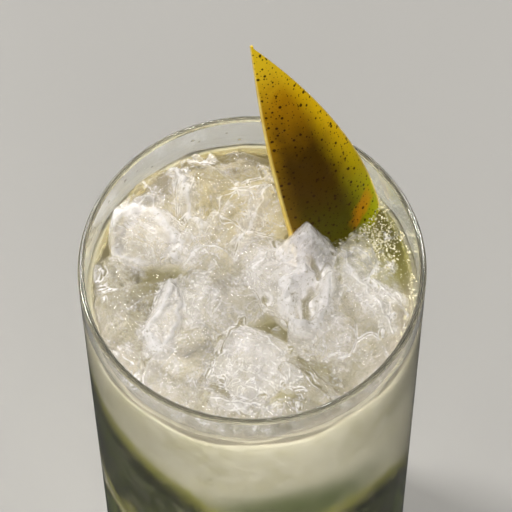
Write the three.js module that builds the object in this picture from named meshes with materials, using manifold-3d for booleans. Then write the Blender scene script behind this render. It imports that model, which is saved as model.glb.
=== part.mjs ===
// A mojito: a tall straight-sided glass of cloudy minty drink, packed with cracked ice,
// with a thin slice of mango, skin to the front, standing in the ice against the wall.
// Millimetres, +Z up, with the origin at the middle of the glass's foot.
import * as THREE from "three";
import { mergeVertices } from "three/addons/utils/BufferGeometryUtils.js";
import Module from "manifold-3d";

const wasm = await Module();
wasm.setup();

// Driving dimensions of the glass
const glassHeight = 148;
const glassRadius = 36;
const wallThickness = 1.4;
const baseThickness = 11;
const heelRadius = 4;
const bowlFillet = 7;
const roundSides = 48;
const arcSteps = 5;
const gap = 0.3;

// Sizes that follow from the glass
const innerRadius = glassRadius - wallThickness;
const drinkLevel = glassHeight - 10.3;

// The packed ice that the loose pieces sit on
const coreRadius = 30;
const coreDepth = 13;
const coreRise = 1.2;
const coreEdge = 3;

// Ice pieces are rounded polyhedra
const facetCount = 13;
const facetNearest = 0.84;
const facetSharpness = 18;
const facetJitter = 0.55;
const pieceDetail = 2;

// Each ice piece: its place in plan, the height of its top above the drink, its half sizes,
// its turn about the vertical in degrees, the seed of its facets, and a lower sharpness where its
// edges have melted round.
const icePieces = [
  { at: [-8.5, -4.0], top: 5.0, half: [11.0, 11.0, 8], turn: 25, seed: 3 },
  { at: [-18.4, -9.2], top: 4.7, half: [4.4, 10.5, 6.5], turn: -18, seed: 61, sharpness: 6 },
  { at: [8.5, 0.5], top: 5.9, half: [11.5, 9.5, 8], turn: -20, seed: 8 },
  { at: [11.1, 5.3], top: 9.4, half: [7.5, 6.5, 7], turn: -135, seed: 318 },
  { at: [23.5, -7.0], top: 5.2, half: [10.0, 9.0, 7], turn: 40, seed: 5 },
  { at: [-0.7, -18.5], top: 4.8, half: [9.0, 10.5, 7], turn: 10, seed: 12 },
  { at: [13.0, -22.0], top: 4.0, half: [10.5, 6.0, 7], turn: -38, seed: 7 },
  { at: [-22.0, 12.5], top: 5.8, half: [10.0, 9.0, 7], turn: -30, seed: 14 },
  { at: [-10.0, 22.5], top: 5.9, half: [8.5, 9.5, 8], turn: 15, seed: 9 },
  { at: [0.5, 17.5], top: 5.4, half: [7.0, 10.0, 7], turn: -25, seed: 17 },
  { at: [-25.5, -7.0], top: 4.2, half: [9.0, 9.5, 6], turn: 20, seed: 11 },
  { at: [-16.5, -20.5], top: 3.8, half: [11.0, 8.5, 6], turn: 50, seed: 26 },
  { at: [23.0, -18.0], top: 3.6, half: [9.0, 8.0, 6], turn: -10, seed: 19 },
  { at: [21.5, 4.5], top: 4.4, half: [6.5, 6.0, 6], turn: 60, seed: 23 },
  { at: [-19.0, 22.5], top: 3.4, half: [7.5, 7.0, 5], turn: 0, seed: 31 },
  { at: [-8.5, 9.0], top: 4.8, half: [8.0, 7.0, 6], turn: 70, seed: 28 },
  { at: [0.8, 7.0], top: 5.0, half: [6.5, 6.5, 6], turn: 30, seed: 37 },
  { at: [-2.5, 28.0], top: 3.6, half: [8.0, 5.5, 5], turn: 5, seed: 41 },
  { at: [16.0, -12.0], top: 4.4, half: [7.5, 7.0, 6], turn: -50, seed: 33 },
  { at: [-28.0, 3.0], top: 3.6, half: [6.0, 7.0, 5], turn: 45, seed: 43 },
  { at: [-7.5, -28.0], top: 3.0, half: [8.5, 6.0, 5], turn: -5, seed: 47 },
  { at: [5.5, -29.0], top: 2.8, half: [7.5, 5.0, 5], turn: 15, seed: 49 },
  { at: [25.5, -1.0], top: 3.2, half: [6.0, 6.5, 5], turn: -20, seed: 53 },
  { at: [-25.5, -17.5], top: 2.8, half: [7.0, 6.5, 5], turn: 35, seed: 57 },
];

// The mango slice, a fin cut along one straight edge. Its own frame has X across it, Z up it
// and the skin facing -Y, with the origin where the straight edge leaves the ice.
const sliceAbove = 50.4;
const sliceBelow = 9.6;
const sliceWidth = 21.2;
const widestBelowTip = 52;
const endRoundness = 9.5;
const sliceSweep = 1.7;
const straightEdgeBow = 1.0;
const tipWidth = 0.5;
const straightEdgeThickness = 2.2;
const curvedEdgeThickness = 1.1;
const tipThickness = 0.7;
const sliceCrown = 2.2;
const sliceRows = 22;
const sliceColumns = 8;
const sliceFoot = [8.3, 10.0, 140.2];
const sliceTurn = 30.2;
const sliceLean = 24.1;
const sliceRoll = 3;

// Solids from closed geometries, and geometries from solids
function solidOf(geometry) {
  const bare = geometry.clone();
  bare.deleteAttribute("normal");
  bare.deleteAttribute("uv");
  const merged = mergeVertices(bare, 1e-4);
  return new wasm.Manifold(
    new wasm.Mesh({
      numProp: 3,
      vertProperties: new Float32Array(merged.attributes.position.array),
      triVerts: new Uint32Array(merged.index.array),
    }),
  );
}

function geometryOf(solid) {
  const mesh = solid.getMesh();
  const geometry = new THREE.BufferGeometry();
  geometry.setAttribute("position", new THREE.BufferAttribute(mesh.vertProperties, 3));
  geometry.setIndex(new THREE.BufferAttribute(mesh.triVerts, 1));
  geometry.computeVertexNormals();
  return geometry;
}

// The largest body of a solid, without loose scraps
function largestBody(solid) {
  return solid.decompose().reduce((a, b) => (a.volume() > b.volume() ? a : b));
}

// A body of revolution about Z from a path of radius and height that runs outwards and up
function turned(path) {
  const points = path.getPoints(arcSteps);
  const geometry = new THREE.LatheGeometry(points, roundSides);
  return geometry.rotateX(Math.PI / 2);
}

// The glass: flat foot, rounded heel, straight wall, round lip, and a bowl with a filleted floor
function glassProfile() {
  const lip = wallThickness / 2;
  const path = new THREE.Path();
  path.moveTo(0, 0);
  path.lineTo(glassRadius - heelRadius, 0);
  path.absarc(glassRadius - heelRadius, heelRadius, heelRadius, -Math.PI / 2, 0);
  path.lineTo(glassRadius, glassHeight - lip);
  path.absarc(glassRadius - lip, glassHeight - lip, lip, 0, Math.PI);
  path.lineTo(innerRadius, baseThickness + bowlFillet);
  path.absarc(
    innerRadius - bowlFillet,
    baseThickness + bowlFillet,
    bowlFillet,
    0,
    -Math.PI / 2,
    true,
  );
  path.lineTo(0, baseThickness);
  return path;
}

// The drink fills the bowl up to its level, with a pocket for the packed ice
function drinkProfile() {
  const radius = innerRadius - gap;
  const floor = baseThickness + gap;
  const pocketRadius = coreRadius + gap;
  const pocketFloor = drinkLevel - coreDepth - gap;
  const path = new THREE.Path();
  path.moveTo(0, floor);
  path.lineTo(radius - bowlFillet, floor);
  path.absarc(radius - bowlFillet, floor + bowlFillet, bowlFillet, -Math.PI / 2, 0);
  path.lineTo(radius, drinkLevel);
  path.lineTo(pocketRadius, drinkLevel);
  path.lineTo(pocketRadius, pocketFloor + coreEdge);
  path.absarc(pocketRadius - coreEdge, pocketFloor + coreEdge, coreEdge, 0, -Math.PI / 2, true);
  path.lineTo(0, pocketFloor);
  return path;
}

// The packed ice under the pieces, a disc with a rounded lower edge
function coreProfile() {
  const floor = drinkLevel - coreDepth;
  const path = new THREE.Path();
  path.moveTo(0, floor);
  path.lineTo(coreRadius - coreEdge, floor);
  path.absarc(coreRadius - coreEdge, floor + coreEdge, coreEdge, -Math.PI / 2, 0);
  path.lineTo(coreRadius, drinkLevel + coreRise);
  path.lineTo(0, drinkLevel + coreRise);
  return path;
}

// The free mouth of the glass, which the ice pieces are trimmed to
function mouthProfile() {
  const radius = innerRadius - gap;
  const path = new THREE.Path();
  path.moveTo(0, drinkLevel + gap);
  path.lineTo(radius, drinkLevel + gap);
  path.lineTo(radius, glassHeight + coreDepth);
  path.lineTo(0, glassHeight + coreDepth);
  return path;
}

// Even draws from 0 to 1 that follow from a seed
function seededDraws(seed) {
  let state = Math.imul(seed, 2654435761) >>> 0;
  return () => {
    state = (Math.imul(state, 1664525) + 1013904223) >>> 0;
    return state / 2 ** 32;
  };
}

// The facets of one piece: directions on a golden spiral, each jittered, and their distances
function facetsOf(seed) {
  const draw = seededDraws(seed);
  const golden = Math.PI * (3 - Math.sqrt(5));
  const facets = [];
  for (let i = 0; i < facetCount; i++) {
    const rise = 1 - (2 * i + 1) / facetCount + (draw() - 0.5) * (facetJitter / 2);
    const height = Math.min(1, Math.max(-1, rise));
    const angle = i * golden + (draw() - 0.5) * 2 * facetJitter;
    const level = Math.sqrt(1 - height * height);
    const distance = facetNearest + (1 - facetNearest) * draw();
    const normal = new THREE.Vector3(level * Math.cos(angle), level * Math.sin(angle), height);
    facets.push({ normal, distance });
  }
  return facets;
}

// One ice piece. Along each direction the surface lies at the nearest facet, softened at the
// edges: one over the high-order mean of the facets' closeness.
function icePiece({ at, top, half, turn, seed, sharpness = facetSharpness }) {
  const facets = facetsOf(seed);
  const geometry = new THREE.IcosahedronGeometry(1, pieceDetail);
  const position = geometry.attributes.position;
  const point = new THREE.Vector3();
  for (let i = 0; i < position.count; i++) {
    point.fromBufferAttribute(position, i).normalize();
    let closeness = 0;
    for (const { normal, distance } of facets) {
      closeness += Math.max(0, normal.dot(point) / distance) ** sharpness;
    }
    point.multiplyScalar(closeness ** (-1 / sharpness));
    position.setXYZ(i, point.x * half[0], point.y * half[1], point.z * half[2]);
  }
  geometry.rotateZ(THREE.MathUtils.degToRad(turn));
  geometry.computeBoundingBox();
  return geometry.translate(at[0], at[1], drinkLevel + top - geometry.boundingBox.max.z);
}

// Where the slice's straight and curved edges lie, at a distance below its tip
function sliceEdges(below) {
  const share = Math.min(1, Math.max(0, below / widestBelowTip));
  const past = Math.min(1, Math.max(0, below - widestBelowTip) / endRoundness);
  const curved = sliceWidth * (1 - (1 - share) ** sliceSweep) * Math.sqrt(1 - past * past);
  const along = Math.min(1, Math.max(0, below / sliceAbove));
  const straight = -straightEdgeBow * Math.sin(Math.PI * along);
  return { straight, curved: Math.max(curved, straight + tipWidth) };
}

// How far a point of the slice lies below its tip, for a share from tip to foot. The rows
// crowd towards both ends.
function rowBelowTip(share) {
  return (sliceAbove + sliceBelow) * (0.5 - 0.5 * Math.cos(Math.PI * share));
}

// The slice as a crowned plate that thins towards its curved edge and its tip. Extra makes it
// larger all round, for the slot that it stands in.
function mangoSlice(extra) {
  const points = [];
  const columns = sliceColumns + 1;
  const rows = sliceRows + 1;
  for (const face of [-1, 1]) {
    for (let row = 0; row < rows; row++) {
      const end = row === 0 ? -1 : row === rows - 1 ? 1 : 0;
      const below = rowBelowTip(row / sliceRows);
      const edges = sliceEdges(below);
      const along = below / (sliceAbove + sliceBelow);
      const straightEdge = THREE.MathUtils.lerp(tipThickness, straightEdgeThickness, along);
      const curvedEdge = THREE.MathUtils.lerp(tipThickness, curvedEdgeThickness, along);
      for (let column = 0; column < columns; column++) {
        const across = column / sliceColumns;
        const side = column === 0 ? -1 : column === sliceColumns ? 1 : 0;
        const width = edges.curved - edges.straight;
        const crown = sliceCrown * 4 * across * (1 - across) * (width / sliceWidth);
        const thickness = THREE.MathUtils.lerp(straightEdge, curvedEdge, across);
        points.push(
          edges.straight + width * across + side * extra,
          face * (thickness / 2 + extra) - crown,
          sliceAbove - below - end * extra,
        );
      }
    }
  }
  return closedPlate(points, rows, columns);
}

// A closed plate from two grids of points, the front one first, stitched round their edges
function closedPlate(points, rows, columns) {
  const back = rows * columns;
  const triangles = [];
  const quad = (a, b, c, d) => triangles.push(a, b, c, a, c, d);
  for (let row = 0; row < rows - 1; row++) {
    for (let column = 0; column < columns - 1; column++) {
      const a = row * columns + column;
      const b = a + columns;
      quad(a, b, b + 1, a + 1);
      quad(back + a, back + a + 1, back + b + 1, back + b);
    }
    const left = row * columns;
    const right = left + columns - 1;
    quad(left, back + left, back + left + columns, left + columns);
    quad(right, right + columns, back + right + columns, back + right);
  }
  for (let column = 0; column < columns - 1; column++) {
    const foot = (rows - 1) * columns + column;
    quad(column, column + 1, back + column + 1, back + column);
    quad(foot, back + foot, back + foot + 1, foot + 1);
  }
  const geometry = new THREE.BufferGeometry();
  geometry.setAttribute("position", new THREE.Float32BufferAttribute(points, 3));
  geometry.setIndex(triangles);
  geometry.computeVertexNormals();
  return geometry;
}

// Finishes
const clearGlass = new THREE.MeshStandardMaterial({
  color: 0xf2f5f3,
  roughness: 0.03,
  metalness: 0,
  transparent: true,
  opacity: 0.3,
});
const cloudyDrink = new THREE.MeshStandardMaterial({ color: 0xc9c6a2, roughness: 0.15, metalness: 0 });
const wetIce = new THREE.MeshStandardMaterial({ color: 0xe2e2d6, roughness: 0.12, metalness: 0 });
const mangoSkin = new THREE.MeshStandardMaterial({ color: 0xa68a1c, roughness: 0.4, metalness: 0 });

function named(name, geometry, material) {
  const mesh = new THREE.Mesh(geometry, material);
  mesh.name = name;
  return mesh;
}

// The slice, placed by where it leaves the ice, and the slot that it stands in
const slice = named("mango_slice", mangoSlice(0), mangoSkin);
slice.position.set(...sliceFoot);
slice.rotation.set(
  -THREE.MathUtils.degToRad(sliceLean),
  THREE.MathUtils.degToRad(sliceRoll),
  THREE.MathUtils.degToRad(sliceTurn),
  "ZXY",
);
slice.updateMatrix();
const slot = solidOf(mangoSlice(gap).applyMatrix4(slice.matrix));

// The ice pieces, trimmed to the mouth, fused to the packed ice and cut clear of the slice
const core = solidOf(turned(coreProfile()));
const mouth = solidOf(turned(mouthProfile()));
const pieces = icePieces.map((piece) => solidOf(icePiece(piece))).reduce((a, b) => a.add(b));
const heap = largestBody(core.add(pieces.intersect(mouth)).subtract(slot));

const drink = largestBody(solidOf(turned(drinkProfile())).subtract(slot));

const mojito = new THREE.Group();
mojito.name = "mojito";
mojito.add(
  named("glass", turned(glassProfile()), clearGlass),
  named("drink", geometryOf(drink), cloudyDrink),
  named("ice", geometryOf(heap), wetIce),
  slice,
);

export default mojito;
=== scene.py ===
"""The looks of a mojito: a clear straight glass, a cloudy drink with sunk mint leaves, cracked ice
and a thin slice of mango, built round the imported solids.

Shapes are worked out in millimetres in the solids' frame, +Z up from the middle of the glass's
foot, and put into meshes in metres.
"""
import math
from typing import NamedTuple

import bpy
import numpy as np
from mathutils import Matrix


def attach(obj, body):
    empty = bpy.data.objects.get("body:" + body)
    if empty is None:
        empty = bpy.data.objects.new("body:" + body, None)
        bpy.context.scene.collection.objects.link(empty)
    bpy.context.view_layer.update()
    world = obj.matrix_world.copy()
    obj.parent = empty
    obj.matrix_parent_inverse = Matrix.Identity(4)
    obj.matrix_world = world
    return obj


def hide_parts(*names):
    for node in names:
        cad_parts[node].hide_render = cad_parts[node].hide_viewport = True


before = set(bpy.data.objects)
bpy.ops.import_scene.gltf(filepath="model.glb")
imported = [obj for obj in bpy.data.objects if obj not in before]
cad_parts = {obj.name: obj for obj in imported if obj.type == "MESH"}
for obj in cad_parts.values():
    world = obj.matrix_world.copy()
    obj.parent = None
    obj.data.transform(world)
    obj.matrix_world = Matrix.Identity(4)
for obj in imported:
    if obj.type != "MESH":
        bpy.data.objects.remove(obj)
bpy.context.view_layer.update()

MM = 0.001
GOLDEN_ANGLE = math.pi * (3 - math.sqrt(5))

# The glass and what it holds, as the solids have them
GLASS_HEIGHT = 148.0
GLASS_RADIUS = 36.0
WALL = 1.4
BASE = 11.0
HEEL_RADIUS = 4.0
BOWL_FILLET = 7.0
INNER_RADIUS = GLASS_RADIUS - WALL
DRINK_LEVEL = GLASS_HEIGHT - 10.3
INTO_WALL = 0.06
POCKET_DEPTH = 9.0
ICE_REACH = INNER_RADIUS - 0.9
ROUND_STEPS = 360
GLASS_STEPS = 720

# The cloud in the drink, and the middle of the open drink beside the slice
CLOUD_BODY = INNER_RADIUS - 4.0
CLOUD_RIM = INNER_RADIUS - 0.4
CLOUD_FLOOR = BASE + 4
CLOUD_TOP = DRINK_LEVEL - 0.9
CLOUD_HEEL = 5
CLOUD_BED = DRINK_LEVEL - 5.0
CLOUD_BANK = 4.1
OPEN_DRINK = (26, 14)

# How far from the wall the drink's climb up it reaches, the foam on top and the drops above
MENISCUS_REACH = 1.1
FOAM_MIDDLE = (25.5, 11.0)
FOAM_SPREAD = (3.4, 4.2)
SLICE_BUBBLES = 900
WALL_BUBBLES = 420
BUBBLE_GAP = 0.3
WALL_DROPS = 26
DROP_MARGIN = 2.2
DROP_DEPTH = 0.45
DROP_LENGTH = 1.15

# How the ice is cut into facets, its chips and sunk pieces, and how finely it is meshed
FACETS = 13
FACET_SHARPNESS = 18
FACET_NEAREST = 0.84
FACET_JITTER = 0.55
CHIP_PLACES = 400
CHIPS = 130
LARGE_CHIPS = 90
LARGE_CHIP_HALF = (1.2, 3.2)
CRUMB_HALF = (0.5, 1.5)
CHIP_WHITENESS = 0.3
FIRST_CHIP_SEED = 300
SUNK_PIECES = 40
SUNK_REACH = 32
SUNK_HALF = (3.5, 6.5)
SUNK_TOP = (-4.5, -2.0)
FIRST_SUNK_SEED = 100
HEART_SIZES = (0.9, 0.7, 0.48)
ICE_RINGS = 168
ICE_STEPS = 560

# Ice pieces: place in plan, top above the drink, half sizes, turn in degrees, seed, whiteness, and
# a lower sharpness where the edges have melted round
ICE_PIECES = [
    ((-8.5, -4.0), 5.0, (11.0, 11.0, 8), 25, 3, 0.42),
    ((-18.4, -9.2), 4.7, (4.4, 10.5, 6.5), -18, 61, 0.35, 6),
    ((8.5, 0.5), 5.9, (11.5, 9.5, 8), -20, 8, 0.55),
    ((11.1, 5.3), 9.4, (7.5, 6.5, 7), -135, 318, 0.85),
    ((23.5, -7.0), 5.2, (10.0, 9.0, 7), 40, 5, 0.18),
    ((-0.7, -18.5), 4.8, (9.0, 10.5, 7), 10, 12, 0.66),
    ((13.0, -22.0), 4.0, (10.5, 6.0, 7), -38, 7, 0.18),
    ((-22.0, 12.5), 5.8, (10.0, 9.0, 7), -30, 14, 0.55),
    ((-10.0, 22.5), 5.9, (8.5, 9.5, 8), 15, 9, 0.10),
    ((0.5, 17.5), 5.4, (7.0, 10.0, 7), -25, 17, 0.22),
    ((-25.5, -7.0), 4.2, (9.0, 9.5, 6), 20, 11, 0.16),
    ((-16.5, -20.5), 3.8, (11.0, 8.5, 6), 50, 26, 0.26),
    ((23.0, -18.0), 3.6, (9.0, 8.0, 6), -10, 19, 0.20),
    ((21.5, 4.5), 4.4, (6.5, 6.0, 6), 60, 23, 0.32),
    ((-19.0, 22.5), 3.4, (7.5, 7.0, 5), 0, 31, 0.08),
    ((-8.5, 9.0), 4.8, (8.0, 7.0, 6), 70, 28, 0.24),
    ((0.8, 7.0), 5.0, (6.5, 6.5, 6), 30, 37, 0.30),
    ((-2.5, 28.0), 3.6, (8.0, 5.5, 5), 5, 41, 0.10),
    ((16.0, -12.0), 4.4, (7.5, 7.0, 6), -50, 33, 0.38),
    ((-28.0, 3.0), 3.6, (6.0, 7.0, 5), 45, 43, 0.12),
    ((-7.5, -28.0), 3.0, (8.5, 6.0, 5), -5, 47, 0.22),
    ((5.5, -29.0), 2.8, (7.5, 5.0, 5), 15, 49, 0.26),
    ((25.5, -1.0), 3.2, (6.0, 6.5, 5), -20, 53, 0.18),
    ((-25.5, -17.5), 2.8, (7.0, 6.5, 5), 35, 57, 0.16),
]

# Crests of the ice, and cracks where the height is negative: height, half width and whiteness,
# which is partly frost and partly a painted highlight on the crest, and the places in plan that
# each runs through
ICE_CRESTS = [
    (0.9, 1.8, 0.85, ((-29.3, 13.4), (-25.6, 17.2), (-21.8, 19.8))),
    (1.0, 1.8, 0.85, ((-21.4, 19.5), (-17.5, 13.2), (-15.0, 9.4), (-16.1, 6.3))),
    (0.7, 1.4, 0.8, ((-28.8, 7.2), (-25.5, 5.7), (-23.0, 5.0))),
    (1.3, 1.9, 1.0, ((-15.9, 26.3), (-14.2, 21.4), (-12.7, 16.0), (-10.2, 12.1))),
    (0.8, 1.4, 0.2, ((-14.6, 23.3), (-16.7, 26.3), (-16.7, 29.4), (-12.9, 31.2), (-8.2, 31.4))),
    (1.0, 1.6, 0.3, ((-8.3, 13.6), (-6.2, 19.8), (-3.2, 21.9), (-0.2, 20.7), (0.6, 17.7))),
    (1.1, 1.9, 0.75, ((4.0, 23.5), (1.4, 16.3), (-2.5, 9.2))),
    (1.2, 1.7, 0.95, ((-17.1, 1.1), (-18.1, -2.9), (-19.4, -7.5), (-22.4, -11.6), (-19.1, -16.7))),
    (0.8, 1.4, 0.75, ((-17.1, 0.4), (-15.0, -4.8), (-15.9, -10.8), (-18.5, -16.3))),
    (0.6, 1.3, 0.2, ((-17.1, 1.3), (-13.4, 6.0), (-7.9, 7.8), (-3.3, 5.4))),
    (2.4, 2.4, 1.0, ((11.4, 0.2), (8.2, -1.4), (6.9, -5.1), (7.5, -9.3), (10.1, -12.3))),
    (2.4, 2.4, 1.0, ((16.6, 0.8), (15.6, -2.9), (15.0, -7.1), (13.0, -10.8), (10.1, -12.3))),
    (0.7, 1.4, 0.5, ((7.2, 7.6), (3.4, 5.8), (0.4, 2.5))),
    (0.8, 1.3, 0.4, ((19.1, 7.4), (20.0, 3.6), (19.6, 2.2))),
    (1.2, 2.4, 0.7, ((19.6, 2.2), (23.6, -3.0), (27.1, -9.1), (30.2, -13.8), (31.0, -16.1))),
    (0.7, 1.3, 0.3, ((30.2, -3.1), (32.1, -7.8), (30.9, -12.4))),
    (0.9, 1.5, 0.5, ((22.2, 6.4), (25.1, 4.5), (25.8, 2.6))),
    (0.6, 1.2, 0.3, ((24.9, 0.7), (27.7, -3.1), (29.7, -5.4))),
    (0.7, 1.5, 0.3, ((1.9, -12.0), (5.9, -16.6), (7.5, -21.7))),
    (0.7, 1.6, 0.6, ((-8.1, -26.8), (-3.6, -27.6), (1.2, -27.9))),
    (0.5, 1.2, 0.1, ((-28.3, -8.3), (-23.7, -4.6), (-18.8, -0.7))),
    (0.5, 1.2, 0.3, ((-27.3, -16.6), (-24.5, -18.9), (-25.7, -22.0))),
    (0.8, 1.3, 0.5, ((12.4, 8.4), (9.8, 7.4), (7.0, 4.6))),
    (0.9, 1.4, 0.5, ((12.4, 8.4), (15.4, 7.2), (18.6, 5.4))),
    (0.6, 1.1, 0.3, ((12.2, 7.6), (12.2, 5.2), (10.4, 3.0))),
    (-3.2, 2.9, 0.0, ((12.2, -2.2), (11.0, -4.6), (11.3, -8.4))),
    (-2.6, 2.2, 0.0, ((12.4, 4.4), (13.6, 2.6), (13.2, 0.6))),
    (-0.7, 0.9, 0.0, ((-6.4, -14.6), (-4.9, -10.9), (-2.2, -8.9))),
    (-0.8, 0.9, 0.0, ((6.7, -18.0), (11.9, -22.6), (17.5, -27.2))),
    (-0.6, 0.8, 0.0, ((9.0, -18.0), (13.6, -22.2), (18.8, -25.9))),
]

# Hollows in the ice: place in plan, radius and depth
ICE_HOLLOWS = [
    ((17.2, 6.6), 1.2, 1.6),
    ((18.3, 0.4), 1.0, 1.5),
    ((2.6, -3.8), 1.3, 1.2),
    ((-11.4, 17.6), 1.0, 1.0),
]

# Sunk mint leaves: turn round the wall in degrees, height of the middle, length, width, lean of the
# rib in degrees, depth from the wall and phase of the curl
MINT_LEAVES = [
    (-166, 90, 46, 28, 22, 2.0, 1),
    (-136, 88, 56, 30, 58, 2.0, 2),
    (-76, 93, 48, 32, 88, 7.0, 3),
    (-40, 66, 44, 26, 40, 2.0, 4),
    (-15, 46, 36, 21, 20, 1.0, 5),
    (-100, 54, 38, 23, 75, 1.0, 6),
    (-152, 42, 36, 22, 10, 1.2, 7),
    (20, 78, 34, 20, 30, 1.0, 8),
    (60, 58, 36, 21, -25, 1.0, 9),
    (100, 84, 34, 20, 55, 1.1, 10),
    (140, 56, 36, 22, 10, 1.0, 11),
    (178, 40, 34, 21, -45, 1.0, 12),
    (-70, 34, 32, 20, 70, 1.2, 13),
    (40, 34, 32, 20, 80, 1.2, 14),
]
LEAF_TEETH = 13
LEAF_VEINS = 6

# Leaves from this depth on look soft, and from the next on they lie hidden in the cloud
MISTY_LEAF = 1.5
HIDDEN_LEAF = 4.0

# The mango slice in its own frame: X across, Z up, skin towards -Y
SLICE_ABOVE = 50.4
SLICE_BELOW = 9.6
SLICE_LENGTH = SLICE_ABOVE + SLICE_BELOW
SLICE_WIDTH = 21.2
WIDEST_BELOW_TIP = 52.0
END_ROUNDNESS = 9.5
SLICE_SWEEP = 1.7
STRAIGHT_EDGE_BOW = 1.0
TIP_WIDTH = 0.5
STRAIGHT_EDGE_THICKNESS = 2.2
CURVED_EDGE_THICKNESS = 1.1
TIP_THICKNESS = 0.7
SLICE_CROWN = 2.2
SLICE_FOOT = (8.3, 10.0, 140.2)
SLICE_TURN = 30.2
SLICE_LEAN = 24.1
SLICE_ROLL = 3.0
SLICE_CORNER = 0.16
SKIN_SCALE = 100


class Shape(NamedTuple):
    """Points in millimetres, with four-sided and three-sided faces between them."""

    points: np.ndarray
    quads: np.ndarray
    triangles: np.ndarray


def capped_grid(points, first_end, last_end):
    """A tube of rows of points, each row closed on itself, and one point at either end."""
    rows, columns = points.shape[:2]
    index = np.arange(rows * columns).reshape(rows, columns)
    beside = np.roll(index, -1, axis=1)
    quads = np.stack([index[:-1], beside[:-1], beside[1:], index[1:]], axis=-1).reshape(-1, 4)
    first, last = rows * columns, rows * columns + 1
    first_fan = np.stack([np.full(columns, first), beside[0], index[0]], axis=-1)
    last_fan = np.stack([np.full(columns, last), index[-1], beside[-1]], axis=-1)
    everything = np.concatenate([points.reshape(-1, 3), [first_end, last_end]])
    return Shape(everything, quads, np.concatenate([first_fan, last_fan]))


def joined(shapes):
    """Several shapes as one, with the faces' numbers moved on past the points before them."""
    starts = np.cumsum([0] + [len(shape.points) for shape in shapes[:-1]])
    return Shape(
        np.concatenate([shape.points for shape in shapes]),
        np.concatenate([shape.quads + start for shape, start in zip(shapes, starts)]),
        np.concatenate([shape.triangles + start for shape, start in zip(shapes, starts)]),
    )


def repeated(shape, places):
    """One shape's faces, repeated for each of the rows of points in places."""
    count, size = places.shape[:2]
    starts = (np.arange(count) * size)[:, None, None]
    return Shape(
        places.reshape(-1, 3),
        (shape.quads[None] + starts).reshape(-1, 4),
        (shape.triangles[None] + starts).reshape(-1, 3),
    )


def revolved(profile, around):
    """A body of revolution: each radius and height of the profile, swept round +Z. The profile
    starts and ends on the axis and runs outwards and up."""
    turn = np.linspace(0, 2 * np.pi, around, endpoint=False)
    radius = profile[1:-1, 0][:, None]
    height = np.repeat(profile[1:-1, 1][:, None], around, axis=1)
    points = np.stack([radius * np.cos(turn), radius * np.sin(turn), height], axis=-1)
    return capped_grid(points, (0, 0, profile[0, 1]), (0, 0, profile[-1, 1]))


def arc(centre, radius, start, end, steps):
    """Points on a circle's arc from a start to an end angle in degrees."""
    angle = np.radians(np.linspace(start, end, steps))
    return np.stack([centre[0] + radius * np.cos(angle), centre[1] + radius * np.sin(angle)], axis=-1)


def run(start, end, steps):
    """Evenly spaced points on a straight line, with both ends."""
    return np.linspace(start, end, steps)


def sphere_directions(rows, columns):
    """Unit vectors on rings of equal latitude from below to above, without the poles."""
    latitude = np.linspace(-np.pi / 2, np.pi / 2, rows + 2)[1:-1][:, None]
    longitude = np.linspace(0, 2 * np.pi, columns, endpoint=False)[None]
    return np.stack(
        [
            np.cos(latitude) * np.cos(longitude),
            np.cos(latitude) * np.sin(longitude),
            np.sin(latitude) * np.ones_like(longitude),
        ],
        axis=-1,
    )


def ball(rows, columns):
    """A closed unit ball of rings and two poles."""
    return capped_grid(sphere_directions(rows, columns), (0, 0, -1), (0, 0, 1))


# Finishes


def linear(red, green, blue):
    """A display colour from 0 to 255 as a linear colour."""
    share = np.array([red, green, blue]) / 255
    return (*np.where(share <= 0.04045, share / 12.92, ((share + 0.055) / 1.055) ** 2.4), 1.0)


class Value:
    """A node's output, with arithmetic that adds Math nodes to its finish."""

    def __init__(self, finish, socket):
        self.finish = finish
        self.socket = socket

    def _math(self, operation, first, second):
        return self.finish.node("ShaderNodeMath", {"operation": operation}, {0: first, 1: second})

    def __add__(self, other):
        return self._math("ADD", self, other)

    def __radd__(self, other):
        return self._math("ADD", other, self)

    def __sub__(self, other):
        return self._math("SUBTRACT", self, other)

    def __rsub__(self, other):
        return self._math("SUBTRACT", other, self)

    def __mul__(self, other):
        return self._math("MULTIPLY", self, other)

    def __rmul__(self, other):
        return self._math("MULTIPLY", other, self)

    def __truediv__(self, other):
        return self._math("DIVIDE", self, other)

    def at_least(self, other):
        return self._math("MAXIMUM", self, other)

    def at_most(self, other):
        return self._math("MINIMUM", self, other)

    def ramp(self, low, high):
        """0 below low, 1 above high and smooth between them. A high below low turns it round."""
        return self.finish.node(
            "ShaderNodeMapRange",
            {"interpolation_type": "SMOOTHSTEP"},
            {"Value": self, "From Min": low, "From Max": high},
        )


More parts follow.
